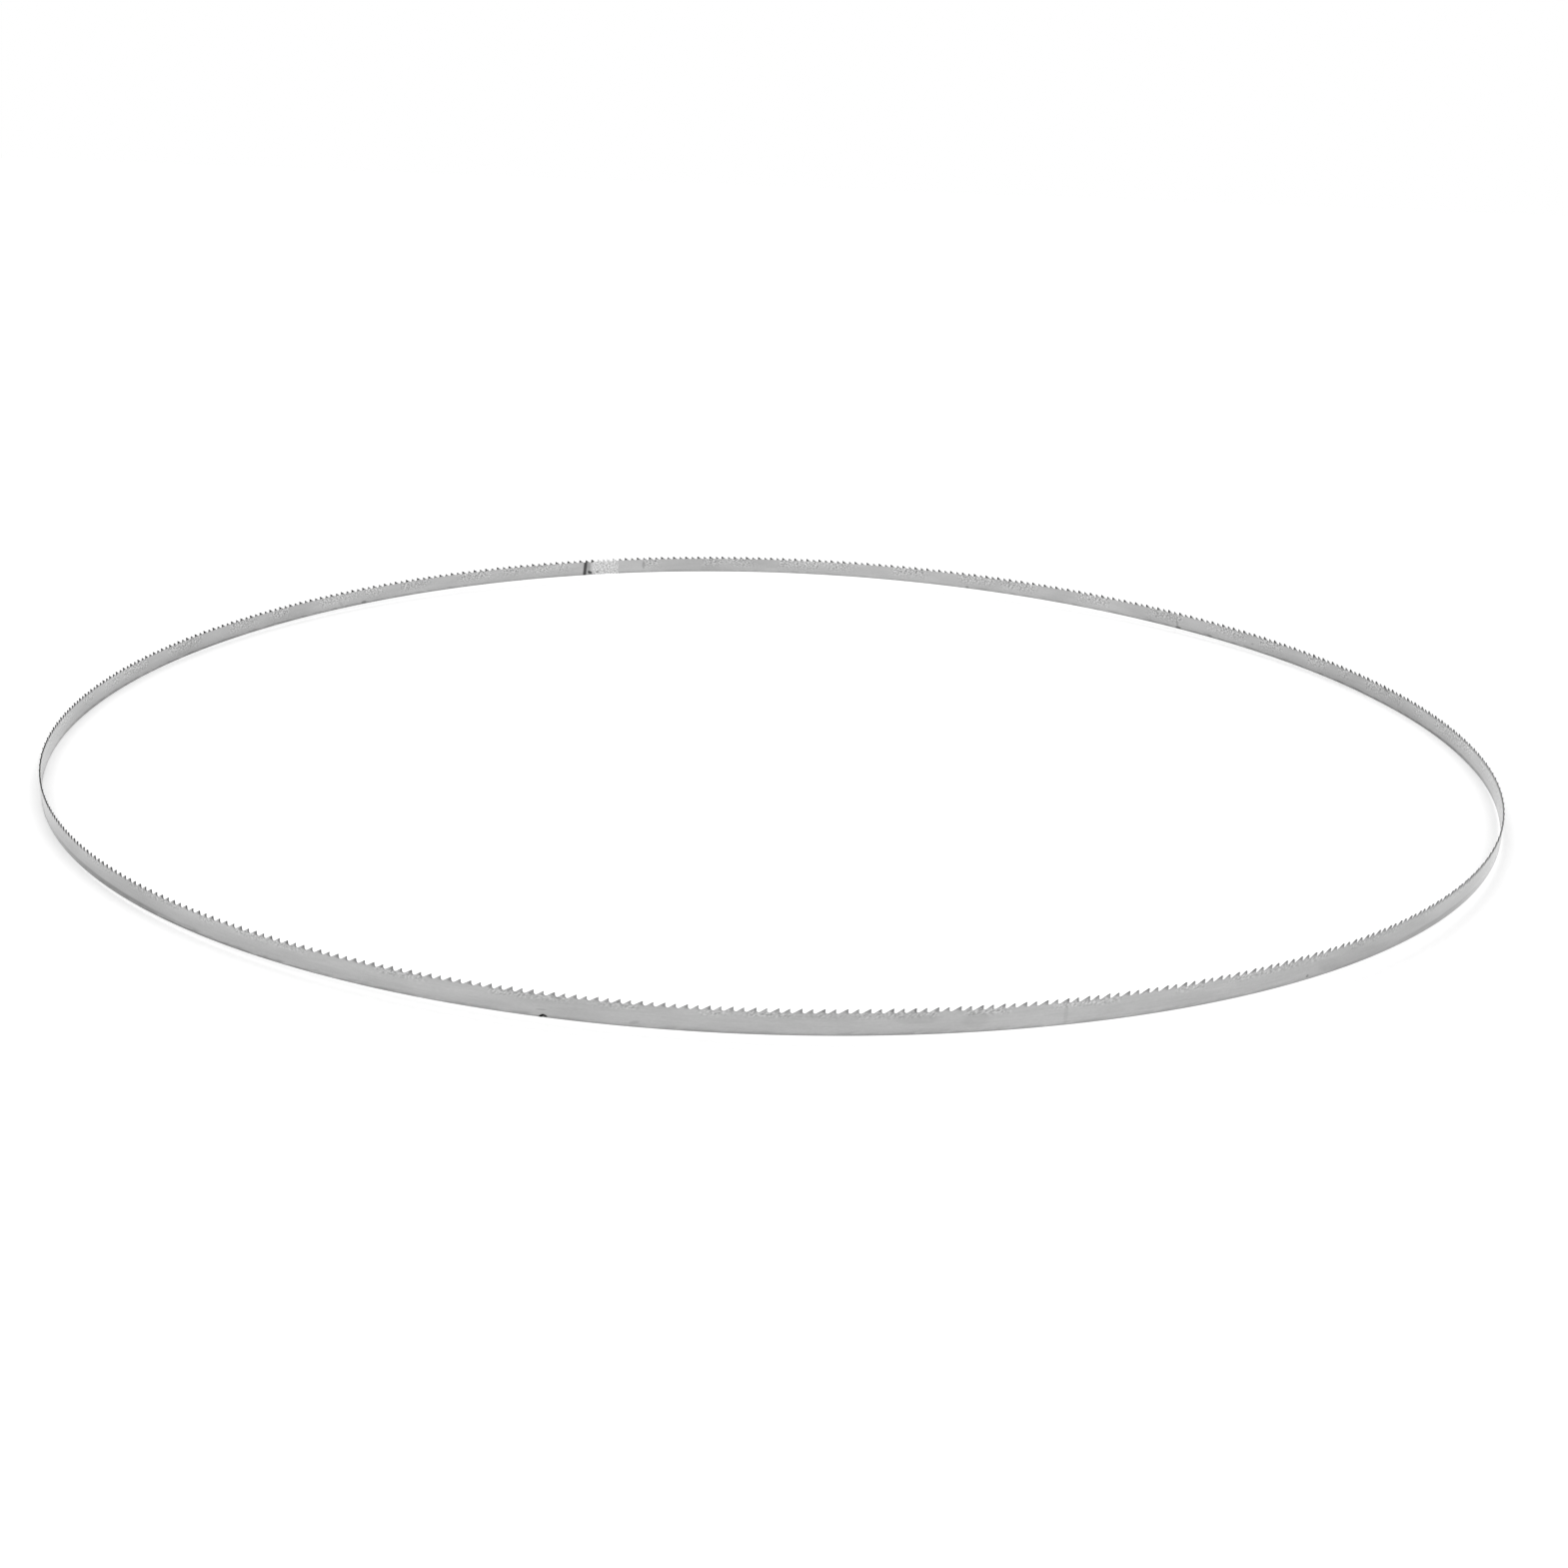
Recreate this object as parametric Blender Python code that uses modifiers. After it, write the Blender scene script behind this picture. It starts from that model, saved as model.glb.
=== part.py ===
"""Band saw blade: one strip of spring steel with milled teeth, curled into a loop and butt welded.

The strip is drawn flat first, the way it is milled. There x runs along the strip, the way the teeth
point, z runs across it from the back edge to the points, and y goes through its thickness, towards
what becomes the outside of the loop. Then it is curled so that its two ends meet at the weld.

The finished loop stands on its back edge. Its origin is the middle of the loop on the table, +Z is
the way the points stand, and turns are counted anticlockwise from +X, seen from above.
"""
import math

import bmesh
import bpy

# Sizes of the loop, in metres and degrees
LOOP_LENGTH = 1.400             # once round the middle of the strip's thickness
WELD_TURN = 109.57              # where the two ends meet

# A free loop keeps a little of the bends it was packed with, so it is neither quite flat nor round
EDGE_RISE = 0.00326             # lift of the back edge halfway between the two places where it touches
RISE_BIAS = 0.00152             # the lift is this much greater on one side, and less on the other
REST_TURN = 10.7                # the edge touches the table here, and again straight across
BIAS_TURN = -4.3                # the side of the greater lift
OVAL = 0.00053                  # its ends along X stand this far out of the circle, and those along Y in
BULGE = 0.00083                 # its four rounded corners stand this far out as well
BULGE_TURN = 20.8               # the first of those corners

# Sizes of the strip
BAND_WIDTH = 0.0065             # back edge to the tall points
BAND_THICKNESS = 0.00036

# Sizes of the teeth
TOOTH_PITCH = 0.00255           # ten to the inch, before it is fitted to the loop
TOOTH_DEPTH = 0.00120           # tall point to gullet floor
GULLET_RADIUS = 0.00048
RAKE_ANGLE = 0.0                # lean of the cutting face, 0 is a regular tooth
SHORT_POINT_DROP = 0.00014      # every second point stands this much lower
SHORT_FACE_SETBACK = 0.00018    # and its cutting face this much further back
TOOTH_SET = 0.00007             # how far a point is bent out of the strip's plane
WELD_GAP = 0.00146              # pitch of the two teeth on either side of the weld

# How finely the strip is drawn
GULLET_STEPS = 2                # straight pieces in a gullet's arc
GULLET_LIMIT = 0.35             # largest gullet radius, as a share of the space between two points
MERGE_DISTANCE = 0.00001        # neighbouring faces and the strip's ends join within this
CREASE_ANGLE = 30.0             # edges sharper than this are not shaded smooth

LOOP_RADIUS = LOOP_LENGTH / math.tau
TOOTH_PAIRS = round((LOOP_LENGTH - WELD_GAP + TOOTH_PITCH) / (2 * TOOTH_PITCH))
TOOTH_COUNT = 2 * TOOTH_PAIRS
FITTED_PITCH = (LOOP_LENGTH - WELD_GAP) / (TOOTH_COUNT - 1)


def clear_scene():
    for old in list(bpy.data.objects):
        bpy.data.objects.remove(old, do_unlink=True)


def make_collection(name):
    collection = bpy.data.collections.new(name)
    bpy.context.scene.collection.children.link(collection)
    return collection


def tooth_point(number):
    """Place (x, z) of a tooth's point on the flat strip, and how far it is set out of its plane.

    Tooth -1 is the last tooth, seen across the weld, and the tooth after the last is the first.
    """
    lap, number = divmod(number, TOOTH_COUNT)
    along = WELD_GAP / 2 + number * FITTED_PITCH + lap * LOOP_LENGTH
    if number % 2:
        return along - SHORT_FACE_SETBACK / 2, BAND_WIDTH - SHORT_POINT_DROP, -TOOTH_SET
    return along + SHORT_FACE_SETBACK / 2, BAND_WIDTH, TOOTH_SET


def gullet_arc(number):
    """Arc from a tooth's cutting face to the back of the next tooth, as points of the sheet."""
    x, z, _ = tooth_point(number)
    next_x, next_z, _ = tooth_point(number + 1)
    radius = min(GULLET_RADIUS, GULLET_LIMIT * (next_x - x))
    rake = math.radians(RAKE_ANGLE)
    centre_z = BAND_WIDTH - TOOTH_DEPTH + radius
    centre_x = x + (radius - (z - centre_z) * math.sin(rake)) / math.cos(rake)
    reach = math.hypot(next_x - centre_x, next_z - centre_z)
    back_slope = math.atan2(next_z - centre_z, next_x - centre_x) + math.asin(radius / reach)
    start = math.pi - rake
    end = 1.5 * math.pi + back_slope
    arc = []
    for step in range(GULLET_STEPS + 1):
        angle = start + (end - start) * step / GULLET_STEPS
        arc.append((centre_x + radius * math.cos(angle), 0.0, centre_z + radius * math.sin(angle)))
    return arc


def draw_flat_strip():
    """The whole strip as one flat sheet without thickness, its teeth already set left and right."""
    sheet = bmesh.new()
    floor = GULLET_STEPS // 2

    def draw_face(*outline):
        sheet.faces.new([sheet.verts.new(place) for place in outline])

    for number in range(TOOTH_COUNT):
        x, z, tooth_set = tooth_point(number)
        behind = gullet_arc(number - 1)
        ahead = gullet_arc(number)
        slope_foot = behind[-1]
        face_foot = ahead[0]
        first_floor = behind[floor]
        last_floor = ahead[floor]
        # The tooth bends along the line from the foot of its back to the foot of its cutting face
        draw_face(slope_foot, face_foot, (x, tooth_set, z))
        draw_face(slope_foot, last_floor, *reversed(ahead[:floor]))
        back_edge = (first_floor[0], 0.0, 0.0), (last_floor[0], 0.0, 0.0)
        draw_face(*back_edge, last_floor, *reversed(behind[floor:]))
    bmesh.ops.remove_doubles(sheet, verts=sheet.verts, dist=MERGE_DISTANCE)
    return sheet


def curl_into_loop(sheet):
    """Bend the flat sheet round the loop, its two ends to the weld, and join them there."""
    for vert in sheet.verts:
        along, out, height = vert.co
        turn = math.radians(WELD_TURN) + along / LOOP_RADIUS
        bulge = OVAL * math.cos(2 * turn) + BULGE * math.cos(4 * (turn - math.radians(BULGE_TURN)))
        rise = EDGE_RISE + RISE_BIAS * math.cos(turn - math.radians(BIAS_TURN))
        lift = rise * math.sin(turn - math.radians(REST_TURN)) ** 2
        radius = LOOP_RADIUS + bulge + out
        vert.co = (radius * math.cos(turn), radius * math.sin(turn), height + lift)
    bmesh.ops.remove_doubles(sheet, verts=sheet.verts, dist=MERGE_DISTANCE)
    bmesh.ops.recalc_face_normals(sheet, faces=sheet.faces)


def spring_steel():
    """Bright rolled strip: a light grey metal with a satin surface."""
    material = bpy.data.materials.new("bright_spring_steel")
    material.use_nodes = True
    surface = material.node_tree.nodes["Principled BSDF"]
    surface.inputs["Base Color"].default_value = (0.46, 0.46, 0.46, 1.0)
    surface.inputs["Metallic"].default_value = 1.0
    surface.inputs["Roughness"].default_value = 0.38
    return material


def make_toothed_band(collection):
    """The blade itself: the curled sheet thickened to the strip's gauge, half to each side."""
    sheet = draw_flat_strip()
    curl_into_loop(sheet)
    mesh = bpy.data.meshes.new("toothed_band")
    sheet.to_mesh(mesh)
    sheet.free()
    mesh.shade_smooth()
    mesh.set_sharp_from_angle(angle=math.radians(CREASE_ANGLE))
    mesh.materials.append(spring_steel())
    band = bpy.data.objects.new("toothed_band", mesh)
    collection.objects.link(band)
    gauge = band.modifiers.new("gauge", "SOLIDIFY")
    gauge.thickness = BAND_THICKNESS
    gauge.offset = 0.0
    gauge.use_even_offset = True
    return band


clear_scene()
make_toothed_band(make_collection("band_saw_blade"))
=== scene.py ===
"""Looks of a band saw blade: an endless strip of spring steel that stands on its back edge."""
import math

import bmesh
import bpy
from mathutils import Matrix, Vector


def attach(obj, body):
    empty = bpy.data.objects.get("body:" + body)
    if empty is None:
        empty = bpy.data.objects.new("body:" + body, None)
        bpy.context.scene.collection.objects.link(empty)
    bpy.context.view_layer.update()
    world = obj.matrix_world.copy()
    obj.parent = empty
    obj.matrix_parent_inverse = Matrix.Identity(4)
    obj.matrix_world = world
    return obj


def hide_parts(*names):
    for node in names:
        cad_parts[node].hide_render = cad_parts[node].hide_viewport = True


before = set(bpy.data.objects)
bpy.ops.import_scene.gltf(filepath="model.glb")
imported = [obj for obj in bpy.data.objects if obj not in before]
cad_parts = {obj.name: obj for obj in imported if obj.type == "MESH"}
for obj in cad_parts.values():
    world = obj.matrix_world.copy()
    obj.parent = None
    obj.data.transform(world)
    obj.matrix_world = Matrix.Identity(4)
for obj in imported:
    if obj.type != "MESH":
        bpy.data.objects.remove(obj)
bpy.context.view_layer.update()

# The band is one strip of cold rolled spring steel. Its teeth are milled side by side in one pass,
# every second one a little lower and further back, and are then bent a little to alternate sides.
# The strip is curled into a loop, and its ends are butt welded between the last tooth and the first.

# The loop, in metres and radians. It is wider along X by OVAL, has four soft corners that stand out
# by BULGE, and its edge rests at two opposite places and rises between them, most at the front.
LOOP_LENGTH = 1.400
LOOP_RADIUS = LOOP_LENGTH / math.tau
WELD_TURN = math.radians(109.57)
OVAL = 0.00053
BULGE = 0.00083
BULGE_TURN = math.radians(20.8)
EDGE_RISE = 0.00326
RISE_BIAS = 0.00152
REST_TURN = math.radians(10.7)
BIAS_TURN = math.radians(-4.3)

# The strip, whose back edge is rounded in steps of so many degrees
BAND_WIDTH = 0.0065
BAND_THICKNESS = 0.00036
BACK_ROUNDING = 0.00009
ROUNDING_STEPS = (0, 35, 60, 90)

# The teeth
TOOTH_COUNT = 550
TOOTH_DEPTH = 0.00120
GULLET_RADIUS = 0.00048
GULLET_STEPS = 8
GULLET_MIDDLE = GULLET_STEPS // 2
SHORT_POINT_DROP = 0.00014
SHORT_FACE_SETBACK = 0.00018
TOOTH_SET = 0.00007
WELD_GAP = 0.00146
TOOTH_PITCH = (LOOP_LENGTH - WELD_GAP) / (TOOTH_COUNT - 1)
ROOT_BELOW_GULLETS = 0.0003
ROOT_HEIGHT = BAND_WIDTH - TOOTH_DEPTH - ROOT_BELOW_GULLETS

# The mesh. Its surfaces are told apart by where their normals mostly point, its map is the flat
# strip in millimetres, and points within the merge distance of each other are one.
OUTER_FLANK, INNER_FLANK, CUT_EDGE, CUTTING_FACE = range(4)
MOSTLY = 0.5
STRIP_MAP = "strip_mm"
MM_PER_METRE = 1000
MERGE_DISTANCE = 0.000005
SHARP_ANGLE = math.radians(40)


def tooth_point(number):
    """Place of a tooth's point on the flat strip, and how far it is bent to one side."""
    lap, number = divmod(number, TOOTH_COUNT)
    along = WELD_GAP / 2 + number * TOOTH_PITCH + lap * LOOP_LENGTH
    if number % 2:
        return Vector((along - SHORT_FACE_SETBACK / 2, -TOOTH_SET, BAND_WIDTH - SHORT_POINT_DROP))
    return Vector((along + SHORT_FACE_SETBACK / 2, TOOTH_SET, BAND_WIDTH))


def gullet_arc(number):
    """The round gullet between a tooth's upright cutting face and the next tooth's back."""
    point = tooth_point(number)
    next_point = tooth_point(number + 1)
    centre = Vector((point.x + GULLET_RADIUS, 0, BAND_WIDTH - TOOTH_DEPTH + GULLET_RADIUS))
    run = next_point.x - centre.x
    climb = next_point.z - centre.z
    back_slope = math.atan2(climb, run) + math.asin(GULLET_RADIUS / math.hypot(run, climb))
    arc = []
    for step in range(GULLET_STEPS + 1):
        angle = math.pi + (math.pi / 2 + back_slope) * step / GULLET_STEPS
        arc.append(centre + GULLET_RADIUS * Vector((math.cos(angle), 0, math.sin(angle))))
    return arc


def draw_strip():
    """The middle of the flat strip as a sheet: rows along its length, and a face for each tooth."""
    sheet = bmesh.new()
    rows = [BACK_ROUNDING * (1 - math.cos(math.radians(angle))) for angle in ROUNDING_STEPS]
    rows.append(ROOT_HEIGHT)

    def draw_face(*corners):
        sheet.faces.new([sheet.verts.new(corner) for corner in corners])

    for number in range(TOOTH_COUNT):
        behind = gullet_arc(number - 1)
        ahead = gullet_arc(number)
        tops = behind[GULLET_MIDDLE:] + ahead[:GULLET_MIDDLE + 1]
        draw_face(behind[-1], ahead[0], tooth_point(number))
        for left, right in zip(tops, tops[1:]):
            for low, high in zip(rows, rows[1:]):
                draw_face(
                    (left.x, 0, low), (right.x, 0, low), (right.x, 0, high), (left.x, 0, high)
                )
            draw_face((left.x, 0, ROOT_HEIGHT), (right.x, 0, ROOT_HEIGHT), right, left)
    bmesh.ops.remove_doubles(sheet, verts=sheet.verts, dist=MERGE_DISTANCE)
    return sheet


def half_thickness(height):
    """Half the strip's thickness, which is less where the back edge is rounded."""
    drop = max(BACK_ROUNDING - height, 0)
    return BAND_THICKNESS / 2 - BACK_ROUNDING + math.sqrt(BACK_ROUNDING**2 - drop**2)


def thicken(sheet):
    """Give the sheet the strip's thickness, half to each side, and leave its two ends open."""
    first = list(sheet.faces)
    grown = bmesh.ops.extrude_face_region(sheet, geom=first, use_keep_orig=True)["geom"]
    far_side = {item for item in grown if isinstance(item, bmesh.types.BMVert)}
    for vert in sheet.verts:
        side = 1 if vert in far_side else -1
        vert.co.y += side * half_thickness(vert.co.z)
    bmesh.ops.recalc_face_normals(sheet, faces=sheet.faces)
    ends = [gullet_arc(number)[GULLET_MIDDLE].x for number in (-1, TOOTH_COUNT - 1)]
    caps = []
    for face in sheet.faces:
        middle = face.calc_center_median().x
        if min(abs(middle - end) for end in ends) < 2 * MERGE_DISTANCE:
            caps.append(face)
    bmesh.ops.delete(sheet, geom=caps, context="FACES_ONLY")


def mark_surfaces(sheet):
    """Lay the map of the flat strip over it, and tell its flanks from its cut edges."""
    strip_map = sheet.loops.layers.uv.new(STRIP_MAP)
    for face in sheet.faces:
        if face.normal.y > MOSTLY:
            face.material_index = OUTER_FLANK
        elif face.normal.y < -MOSTLY:
            face.material_index = INNER_FLANK
        elif face.normal.x > MOSTLY:
            face.material_index = CUTTING_FACE
        else:
            face.material_index = CUT_EDGE
        for corner in face.loops:
            place = corner.vert.co
            corner[strip_map].uv = place.x * MM_PER_METRE, place.z * MM_PER_METRE


def curl(sheet):
    """Bend the flat strip round the loop and join its two ends."""
    for vert in sheet.verts:
        along, out, height = vert.co
        turn = WELD_TURN + along / LOOP_RADIUS
        bulge = OVAL * math.cos(2 * turn) + BULGE * math.cos(4 * (turn - BULGE_TURN))
        radius = LOOP_RADIUS + bulge + out
        rise = EDGE_RISE + RISE_BIAS * math.cos(turn - BIAS_TURN)
        lift = rise * math.sin(turn - REST_TURN) ** 2
        vert.co = radius * math.cos(turn), radius * math.sin(turn), height + lift
    bmesh.ops.remove_doubles(sheet, verts=sheet.verts, dist=MERGE_DISTANCE)
    bmesh.ops.recalc_face_normals(sheet, faces=sheet.faces)


def make_band():
    sheet = draw_strip()
    thicken(sheet)
    mark_surfaces(sheet)
    curl(sheet)
    mesh = bpy.data.meshes.new("welded_band")
    sheet.to_mesh(mesh)
    sheet.free()
    mesh.shade_smooth()
    mesh.set_sharp_from_angle(angle=SHARP_ANGLE)
    band = bpy.data.objects.new("welded_band", mesh)
    bpy.context.scene.collection.objects.link(band)
    return band


welded_band = make_band()
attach(welded_band, "root")
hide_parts("toothed_band")


# The band is bare metal all over. What is drawn on it is placed on the flat strip, in millimetres
# along it from the weld and up from its back edge, and makes the steel's own colour lighter or
# darker by a shade, where 1 leaves it as it is.

# Nearly all of a pattern's levels lie in the first span. A mark's level goes from 0 at its edge
# to 1 at its middle, and it is fully dark past the second span.
PATTERN_SPAN = (0.3, 0.7)
MARK_SPAN = (0.0, 0.5)


def linear(code):
    """An sRGB hex colour as the linear colour that a shader takes."""
    channels = [int(code[start:start + 2], 16) / 255 for start in (1, 3, 5)]
    return [c / 12.92 if c <= 0.04045 else ((c + 0.055) / 1.055) ** 2.4 for c in channels] + [1.0]


def add(tree, kind, inputs, output=0, **settings):
    """Add a node with its settings, link or set its inputs, and return one of its outputs."""
    node = tree.nodes.new("ShaderNode" + kind)
    for name, value in settings.items():
        setattr(node, name, value)
    for name, value in inputs.items():
        if isinstance(value, bpy.types.NodeSocket):
            tree.links.new(value, node.inputs[name])
        else:
            node.inputs[name].default_value = value
    return node.outputs[output]


def pattern(tree, chart, length, height, lean=0, detail=2):
    """Uneven pattern with patches of about this length and height in millimetres, round 0.5."""
    stretch = {"Vector": chart, "Rotation": (0, 0, math.radians(lean)), "Scale": (length, height, 1)}
    place = add(tree, "Mapping", stretch, vector_type="TEXTURE")
    patches = {"Vector": place, "Scale": 1.0, "Detail": detail}
    return add(tree, "TexNoise", patches, noise_dimensions="2D")


def vary(tree, shade, level, span, factors=(0.0, 1.0)):
    """Multiply a shade by a factor that changes smoothly while a level runs through a span."""
    ramp = {
        "Value": level,
        "From Min": span[0],
        "From Max": span[1],
        "To Min": factors[0],
        "To Max": factors[1],
    }
    factor = add(tree, "MapRange", ramp, interpolation_type="SMOOTHSTEP")
    return add(tree, "Math", {0: shade, 1: factor}, operation="MULTIPLY")


def draw_marks(tree, chart, shade, marks):
    """Darken soft spots of the steel, which are given in the way that the lists of marks say."""
    for turn, rise, length, height, dark, lean in marks:
        along = (turn - math.degrees(WELD_TURN)) % 360 / 360 * LOOP_LENGTH * MM_PER_METRE
        placed = {
            "Vector": chart,
            "Location": (along, rise, 0),
            "Rotation": (0, 0, math.radians(lean)),
            "Scale": (length / 2, height / 2, 1),
        }
        place = add(tree, "Mapping", placed, vector_type="TEXTURE")
        spot = add(tree, "TexGradient", {"Vector": place}, gradient_type="SPHERICAL")
        shade = vary(tree, shade, spot, MARK_SPAN, (1.0, 1.0 - dark))
    return shade


def bare_steel(name):
    """A bare metal with nothing drawn on it yet, and its place on the flat strip."""
    material = bpy.data.materials.new(name)
    material.use_nodes = True
    tree = material.node_tree
    tree.nodes["Principled BSDF"].inputs["Metallic"].default_value = 1.0
    return material, add(tree, "UVMap", {}, uv_map=STRIP_MAP)


def colour_steel(material, code, shade, roughness):
    """Colour a bare metal, lighter or darker by its shade, and set how rough it is."""
    tree = material.node_tree
    steel = tree.nodes["Principled BSDF"]
    colour = add(tree, "VectorMath", {"Vector": linear(code)[:3], "Scale": shade}, operation="SCALE")
    tree.links.new(colour, steel.inputs["Base Color"])
    tree.links.new(roughness, steel.inputs["Roughness"])


# The flanks are bright cold rolled spring steel: the rolls leave a satin grey with a fine grain
# along the strip and faint clouds, and milling and handling have marked it since. Painted shade
# darkens it low along the back edge near the table, and in long stretches for its uneven reflections.
ROLLED_STEEL = "#AFAFAF"
ROLLED_ROUGHNESS = 0.15

# The real grain is some 0.02 mm wide, so it is drawn as coarse as can be seen. The clouds are
# given by their length and height in millimetres, and by how much they change the shade.
GRAIN_PATCH = (1.2, 0.12)
GRAIN_SHADES = (0.96, 1.04)
GRAIN_ROUGHENS = (0.8, 1.2)
CLOUDS = ((90, 40, 0.03), (24, 5, 0.05), (9, 0.35, 0.03))

# The marks were placed to match the photograph. Each is given by its degrees round the loop, its
# height above the back edge, its own length and height in millimetres, the share of the light
# that it takes, and its lean in degrees.
OUTER_MARKS = (
    # A dark spot on the back edge, and short scratches above it
    (257.0, 0.35, 2.0, 0.8, 0.97, 34),
    (257.22, 0.5, 1.7, 0.7, 0.92, -18),
    (257.0, 1.9, 3.2, 0.4, 0.25, 4),
    (258.05, 5.2, 1.9, 0.5, 0.50, 0),
    # Smudges, and a faint line straight up the flank
    (278.8, 4.2, 14.0, 4.0, 0.09, 0),
    (282.3, 3.0, 8.0, 5.0, 0.08, 0),
    (307.6, 2.2, 12.0, 5.0, 0.07, -14),
    (287.8, 2.8, 1.4, 7.0, 0.09, 0),
    # Dirt low on the flank in spots, and long stretches of painted shade low on it, for the table's
    # shadow reflected in the steel
    (305.6, 0.95, 1.3, 0.9, 0.40, 20),
    (262.6, 1.2, 3.4, 1.0, 0.16, 14),
    (230.5, 0.9, 14.0, 1.6, 0.12, 2),
    (216.5, 1.0, 115.0, 1.6, 0.44, 0),
    (325.0, 1.0, 100.0, 2.0, 0.26, 0),
    # Long stretches of painted shade, a little darker, for the steel's uneven reflections
    (218.0, 3.0, 120.0, 24.0, 0.10, 0),
    (268.0, 3.0, 160.0, 40.0, 0.08, 0),
    (320.0, 3.0, 120.0, 24.0, 0.10, 0),
)
INNER_MARKS = (
    # A dark spot below the teeth, and a faint one at half the height
    (17.9, 5.3, 3.4, 1.6, 0.50, 0),
    (36.7, 2.4, 1.6, 0.9, 0.25, -15),
    # Dirt low on the flank in spots, and long stretches of painted shade low on it, for the table's
    # shadow reflected in the steel
    (42.0, 0.7, 3.2, 1.0, 0.30, 6),
    (45.8, 0.5, 3.2, 1.4, 0.50, 0),
    (70.1, 0.6, 2.2, 1.0, 0.38, 0),
    (137.2, 0.7, 3.0, 1.4, 0.42, 0),
    (356.0, 0.5, 160.0, 1.5, 0.34, 0),
    (179.0, 0.6, 110.0, 1.4, 0.16, 0),
    # Rubbed lines up the flank
    (46.0, 2.2, 1.1, 4.0, 0.25, -14),
    (105.4, 3.2, 1.5, 4.0, 0.27, 0),
    (123.4, 3.6, 1.2, 2.2, 0.14, 0),
    (140.0, 1.8, 1.4, 5.0, 0.16, -35),
    # Long stretches of painted shade, a little darker, for the steel's uneven reflections
    (30.0, 3.0, 220.0, 30.0, 0.07, 0),
    (98.0, 3.0, 70.0, 16.0, 0.07, 0),
    (154.0, 3.0, 110.0, 20.0, 0.08, 0),
)
WELD_MARKS = (
    # Tarnish beside the scorch, and burnt spots low and high there and in the ground zone
    (111.4, 3.2, 1.9, 7.0, 0.30, 0),
    (111.26, 1.1, 2.6, 1.5, 0.82, 22),
    (111.03, 5.9, 2.2, 1.9, 0.87, 0),
    (110.45, 1.15, 1.9, 0.9, 0.50, 0),
    (109.76, 6.1, 0.9, 1.2, 0.60, 0),
)

# The milling cutter's flecks come in patches along the strip, and are full from FLECKS_FULL up.
# Real ones are finer than can be seen, so they are drawn as coarse as they need to show.
FLECK_PATCH = (0.8, 0.4)
FLECK_LEAN = 25
LIGHT_SPAN = (0.52, 0.68)
DARK_SPAN = (0.47, 0.34)
FLECKED_PATCH = (16, 40)
FLECKED_SPAN = (0.42, 0.56)
FLECKS_FULL = 4.9


def milling_flecks(tree, chart, height, shade, lowest, strength):
    """Short slanted flecks, light and dark, from a lowest height up to the gullets."""
    flecked_patches = pattern(tree, chart, *FLECKED_PATCH, detail=1)
    reach = vary(tree, 1.0, flecked_patches, FLECKED_SPAN)
    reach = vary(tree, reach, height, (lowest, FLECKS_FULL))
    flecks = pattern(tree, chart, *FLECK_PATCH, lean=FLECK_LEAN)
    flecked = vary(tree, shade, flecks, LIGHT_SPAN, (1.0, 1.0 + strength))
    flecked = vary(tree, flecked, flecks, DARK_SPAN, (1.0, 1.0 - strength))
    return add(tree, "Mix", {0: reach, 2: shade, 3: flecked})


# The dark of a point starts at the first of these heights and is full at the other. Along the
# strip it is full at FACE_FULL of a pitch, and it ends FACE_END of one past the even spacing of
# the teeth, which is just past their cutting faces.
POINT_HEIGHTS = (5.2, 5.9)
FACE_FULL = 0.9
FACE_END = 0.05
SHORT_POINT_SHARE = 0.75


def dark_points(tree, along, height, shade, strength, start):
    """Darken the points from a start, a share of a pitch, to their cutting faces, tall ones most."""
    pitches = add(tree, "MapRange", {
        "Value": along,
        "From Min": WELD_GAP / 2 * MM_PER_METRE,
        "From Max": (WELD_GAP / 2 + TOOTH_PITCH) * MM_PER_METRE,
    }, clamp=False)
    past_face = add(tree, "Math", {0: pitches, 1: FACE_END}, operation="SUBTRACT")
    to_face = add(tree, "Math", {0: past_face}, operation="FRACT")
    half_turns = add(tree, "Math", {0: pitches, 1: math.pi}, operation="MULTIPLY")
    tallness = add(tree, "Math", {0: half_turns}, operation="COSINE")
    loss = add(tree, "MapRange", {
        "Value": tallness,
        "From Min": -1.0,
        "From Max": 1.0,
        "To Min": strength * SHORT_POINT_SHARE,
        "To Max": strength,
    })
    loss = vary(tree, loss, to_face, (start, FACE_FULL))
    loss = vary(tree, loss, height, POINT_HEIGHTS)
    return add(tree, "Mix", {0: loss, 2: shade, 3: 0.0})


# The dark line low on the flank is partly dirt and partly painted shade, which stands for the
# table's shadow reflected in the steel. It takes LINE_DARK of the light where the back edge rests
# on the table, and LINE_LIFTED of that share where the edge has risen through LIFT_SPAN. Its uneven
# top lies between the heights LINE_TOPS, and it is full from LINE_FULL of its own height down.
LINE_DARK = 0.5
LINE_LIFTED = 0.54
LIFT_SPAN = (0.9, 2.4)
LINE_TOPS = (0.45, 1.4)
LINE_FULL = 0.15
LINE_PATCH = (5, 0.5)
LINE_LEAN = 4


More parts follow.
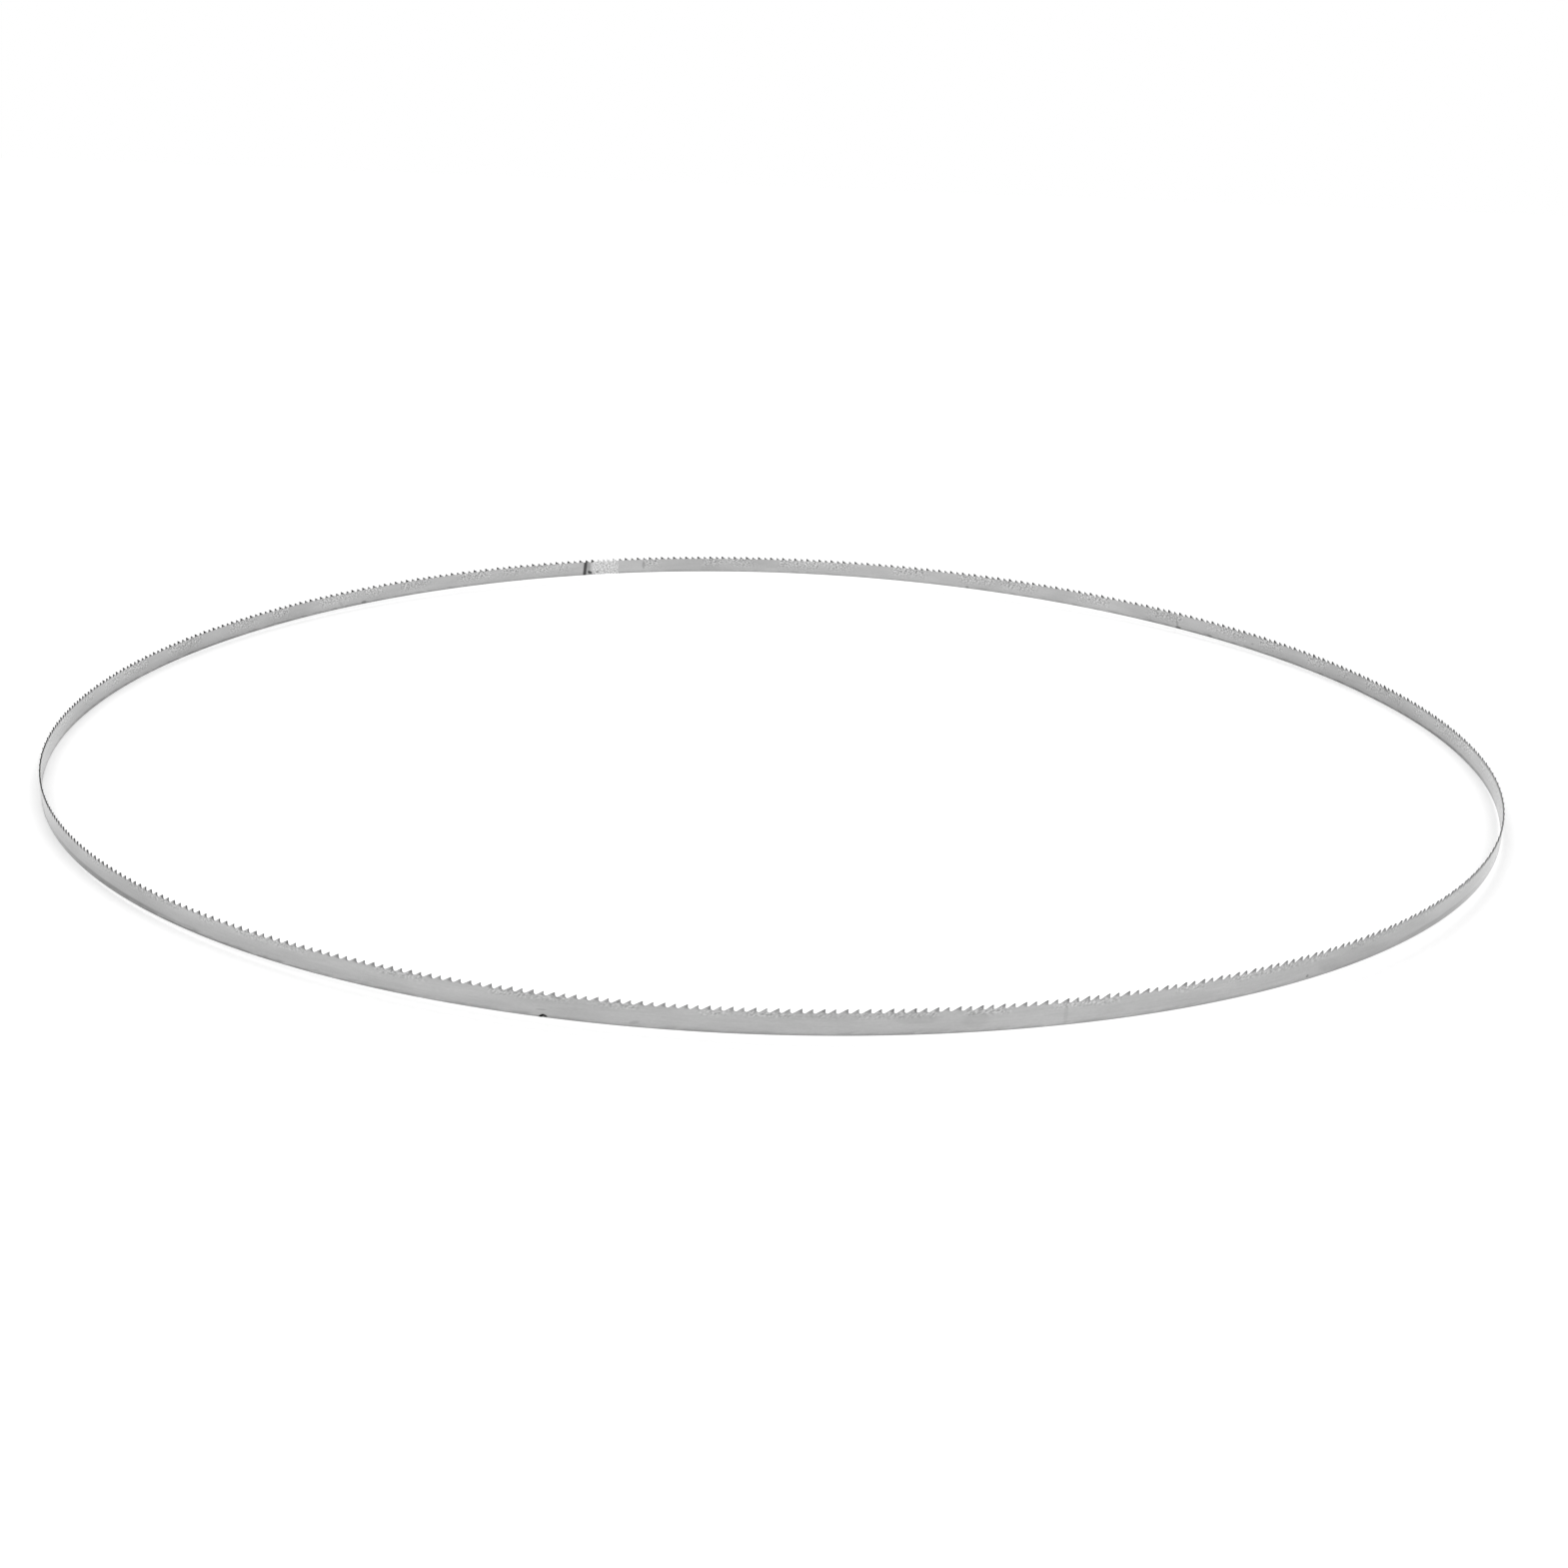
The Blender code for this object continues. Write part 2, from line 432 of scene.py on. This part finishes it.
def dirt_and_painted_contact_shade(tree, chart, height, shade):
    """A dark line low on the flank, partly dirt and partly painted shade, darkest where the edge
    stands on the table.
    """
    place = add(tree, "TexCoord", {}, output="Object")
    up = add(tree, "SeparateXYZ", {"Vector": place}, output="Z")
    above_table = add(tree, "Math", {0: up, 1: MM_PER_METRE}, operation="MULTIPLY")
    lift = add(tree, "Math", {0: above_table, 1: height}, operation="SUBTRACT")
    line_top = add(tree, "MapRange", {
        "Value": pattern(tree, chart, *LINE_PATCH, lean=LINE_LEAN),
        "From Min": PATTERN_SPAN[0],
        "From Max": PATTERN_SPAN[1],
        "To Min": LINE_TOPS[0],
        "To Max": LINE_TOPS[1],
    })
    share = add(tree, "Math", {0: height, 1: line_top}, operation="DIVIDE")
    loss = vary(tree, LINE_DARK, lift, LIFT_SPAN, (1.0, LINE_LIFTED))
    loss = vary(tree, loss, share, (1.0, LINE_FULL))
    return add(tree, "Mix", {0: loss, 2: shade, 3: 0.0})


# Places along the strip, in millimetres from the weld: where the grinder's work fades in and out,
# how far its ends wander, and the scorch, which leans by a share of its height. The grinder's
# scratches are finer than can be seen, and are drawn as coarse as they need to show.
GRIND_START = (-6.0, -4.7)
GRIND_END = (5.9, 5.2)
GRIND_WANDER = 2.0
WANDER_PATCH = (1.0, 1.6)
SCRATCH_PATCH = (0.5, 0.5)
SCRATCH_SPAN = (0.34, 0.66)
GRIND_SHADE = 0.8
SCRATCH_SHADES = (1.0, 2.1)
SCORCH_MIDDLE = 8.85
SCORCH_LEAN = 0.1
SCORCH_EDGE = (1.05, 0.35)
SCORCH_SHADES = (1.0, 0.16)


def weld_zone(tree, chart, along, height, shade):
    """The weld's flash was ground off, which left bright scratches and, past them, a scorch."""
    half_loop = LOOP_LENGTH / 2 * MM_PER_METRE
    from_weld = add(tree, "Math", {0: along, 1: half_loop, 2: -half_loop}, operation="WRAP")
    wander = pattern(tree, chart, *WANDER_PATCH)
    shifted = {0: wander, 1: GRIND_WANDER, 2: from_weld}
    distance = add(tree, "Math", shifted, operation="MULTIPLY_ADD")
    distance = add(tree, "Math", {0: distance, 1: GRIND_WANDER / 2}, operation="SUBTRACT")
    inside = vary(tree, 1.0, distance, GRIND_START)
    inside = vary(tree, inside, distance, GRIND_END)
    scratches = pattern(tree, chart, *SCRATCH_PATCH, detail=3)
    ground_steel = vary(tree, GRIND_SHADE, scratches, SCRATCH_SPAN, SCRATCH_SHADES)
    shade = add(tree, "Mix", {0: inside, 2: shade, 3: ground_steel})
    leaning = {0: height, 1: SCORCH_LEAN, 2: from_weld}
    scorch = add(tree, "Math", leaning, operation="MULTIPLY_ADD")
    scorch = add(tree, "Math", {0: scorch, 1: SCORCH_MIDDLE}, operation="SUBTRACT")
    off_scorch = add(tree, "Math", {0: scorch}, operation="ABSOLUTE")
    return vary(tree, shade, off_scorch, SCORCH_EDGE, SCORCH_SHADES)


def rolled_flank(name, marks, flecks, points):
    """One flank of the strip, from the rolls' grain to the latest marks on it."""
    material, chart = bare_steel(name)
    tree = material.node_tree
    along = add(tree, "SeparateXYZ", {"Vector": chart}, output="X")
    height = add(tree, "SeparateXYZ", {"Vector": chart}, output="Y")
    grain = pattern(tree, chart, *GRAIN_PATCH)
    roughness = vary(tree, ROLLED_ROUGHNESS, grain, PATTERN_SPAN, GRAIN_ROUGHENS)
    shade = vary(tree, 1.0, grain, PATTERN_SPAN, GRAIN_SHADES)
    for cloud_length, cloud_height, change in CLOUDS:
        clouds = pattern(tree, chart, cloud_length, cloud_height)
        shade = vary(tree, shade, clouds, PATTERN_SPAN, (1.0 - change, 1.0 + change))
    shade = draw_marks(tree, chart, shade, marks)
    shade = milling_flecks(tree, chart, height, shade, **flecks)
    shade = dark_points(tree, along, height, shade, **points)
    shade = dirt_and_painted_contact_shade(tree, chart, height, shade)
    shade = weld_zone(tree, chart, along, height, shade)
    shade = draw_marks(tree, chart, shade, WELD_MARKS)
    colour_steel(material, ROLLED_STEEL, shade, roughness)
    return material


# The gullets, the backs of the teeth and the back edge are cut steel: the cutters leave it rougher
# and a little darker than the flanks, with fine lines straight through the strip. The cutting
# faces and the points are darkest, and the cut edges are darker on one side of the loop.
MILLED_STEEL = "#909090"
CUTTING_FACE_STEEL = "#626262"
MILLED_ROUGHNESS = 0.4
LINE_PATTERN = (0.09, 6.0)
STAIN_PATTERN = (3.0, 3.0)
MILLED_SHADES = (0.85, 1.15)
LINES_ROUGHEN = (0.8, 1.25)
GULLET_TO_POINT = (5.4, 6.2)
GULLET_TO_POINT_SHADES = (1.3, 0.45)
MILLED_MARKS = ((38.0, 6.0, 360.0, 60.0, 0.45, 0),)


def milled_edge(name, code):
    """A surface that was cut across the strip, with the cutter's lines and stains of dirt."""
    material, chart = bare_steel(name)
    tree = material.node_tree
    height = add(tree, "SeparateXYZ", {"Vector": chart}, output="Y")
    lines = pattern(tree, chart, *LINE_PATTERN)
    stains = pattern(tree, chart, *STAIN_PATTERN)
    roughness = vary(tree, MILLED_ROUGHNESS, lines, PATTERN_SPAN, LINES_ROUGHEN)
    shade = vary(tree, 1.0, stains, PATTERN_SPAN, MILLED_SHADES)
    shade = vary(tree, shade, lines, PATTERN_SPAN, MILLED_SHADES)
    shade = vary(tree, shade, height, GULLET_TO_POINT, GULLET_TO_POINT_SHADES)
    shade = draw_marks(tree, chart, shade, MILLED_MARKS)
    colour_steel(material, code, shade, roughness)
    return material


# The materials go on in the order that the surfaces are numbered in. The inner flank has flecks
# almost down to its back edge, and darker points than the outer one.
welded_band.data.materials.append(rolled_flank(
    "cold_rolled_steel_outer_flank",
    OUTER_MARKS,
    flecks={"lowest": 3.6, "strength": 0.32},
    points={"strength": 0.42, "start": 0.5},
))
welded_band.data.materials.append(rolled_flank(
    "cold_rolled_steel_inner_flank",
    INNER_MARKS,
    flecks={"lowest": 0.5, "strength": 0.6},
    points={"strength": 0.97, "start": 0.2},
))
welded_band.data.materials.append(milled_edge("milled_steel_edge", MILLED_STEEL))
welded_band.data.materials.append(milled_edge("milled_steel_cutting_face", CUTTING_FACE_STEEL))

# The ground is a smooth sheet of white paper that runs on as the background. The photograph shows
# it a little overexposed, which thins the shadow, so the camera and the steel's reflections see
# it glow faintly.
WHITE = "#FFFFFF"
GROUND_SIZE = 6.0
GROUND_GLOW = 0.16


def seen_by_eye(tree):
    """1 for what the camera sees, straight or in a reflection or through glass, and 0 for the rest."""
    seen = add(tree, "LightPath", {}, output="Is Camera Ray")
    for ray in ("Is Glossy Ray", "Is Transmission Ray"):
        also_seen = add(tree, "LightPath", {}, output=ray)
        seen = add(tree, "Math", {0: seen, 1: also_seen}, operation="MAXIMUM")
    return seen


def make_ground():
    bpy.ops.mesh.primitive_plane_add(size=GROUND_SIZE, location=(0, 0, 0))
    ground = bpy.context.object
    ground.name = "white_ground"
    material = bpy.data.materials.new("white_paper")
    material.use_nodes = True
    tree = material.node_tree
    paper = tree.nodes["Principled BSDF"]
    paper.inputs["Base Color"].default_value = linear(WHITE)
    paper.inputs["Roughness"].default_value = 1.0
    paper.inputs["Specular IOR Level"].default_value = 0.0
    paper.inputs["Emission Color"].default_value = linear(WHITE)
    glow = add(tree, "Math", {0: seen_by_eye(tree), 1: GROUND_GLOW}, operation="MULTIPLY")
    tree.links.new(glow, paper.inputs["Emission Strength"])
    ground.data.materials.append(material)
    return ground


make_ground()

# The light is soft and even: a room with white walls, and a broad lamp high on either side of the
# loop. The walls show white to the camera and in the steel, and light the ground a little less.
ROOM_LIGHT = 0.6
LAMP_LIGHT = 0.2
LAMP_HEIGHT = math.radians(55)
LAMP_SPREAD = math.radians(50)


def light_room():
    world = bpy.data.worlds.new("white_room")
    bpy.context.scene.world = world
    world.use_nodes = True
    tree = world.node_tree
    background = tree.nodes["Background"]
    background.inputs["Color"].default_value = linear(WHITE)
    shown = {"Value": seen_by_eye(tree), "To Min": ROOM_LIGHT, "To Max": 1.0}
    tree.links.new(add(tree, "MapRange", shown), background.inputs["Strength"])


def hang_lamp(name, side):
    lamp = bpy.data.lights.new(name, "SUN")
    lamp.angle = LAMP_SPREAD
    lamp.energy = math.pi * LAMP_LIGHT / math.sin(LAMP_HEIGHT)
    hung = bpy.data.objects.new(name, lamp)
    hung.rotation_euler = (0, side * (math.pi / 2 - LAMP_HEIGHT), 0)
    bpy.context.scene.collection.objects.link(hung)


light_room()
hang_lamp("lamp_on_the_right", 1)
hang_lamp("lamp_on_the_left", -1)

# The camera stands in front of the loop and looks down on it, as in the photograph. Its place,
# aim, lens and slight roll were fitted to the loop's edges and to the points of its teeth there.
PHOTO_WIDTH = 1569
FOCAL_LENGTH_PX = 2120.95
CAMERA_DISTANCE = 2.88426 * LOOP_RADIUS
CAMERA_AIM = Vector((0.01216, -0.18638, 0)) * LOOP_RADIUS
CAMERA_HEIGHT = math.radians(18.983)
CAMERA_ROLL = math.radians(2.145)
SENSOR_WIDTH = 36.0


def place_camera():
    back = Vector((0, -math.cos(CAMERA_HEIGHT), math.sin(CAMERA_HEIGHT)))
    up = Vector((0, math.sin(CAMERA_HEIGHT), math.cos(CAMERA_HEIGHT)))
    level = Matrix((Vector((1, 0, 0)), up, back)).transposed()
    camera = bpy.data.cameras.new("camera")
    camera.sensor_width = SENSOR_WIDTH
    camera.lens = FOCAL_LENGTH_PX / PHOTO_WIDTH * SENSOR_WIDTH
    placed = bpy.data.objects.new("camera", camera)
    turned = level @ Matrix.Rotation(CAMERA_ROLL, 3, "Z")
    placed.matrix_world = Matrix.Translation(CAMERA_AIM + CAMERA_DISTANCE * back) @ turned.to_4x4()
    bpy.context.scene.collection.objects.link(placed)
    bpy.context.scene.camera = placed


place_camera()
bpy.context.scene.view_settings.view_transform = "Standard"
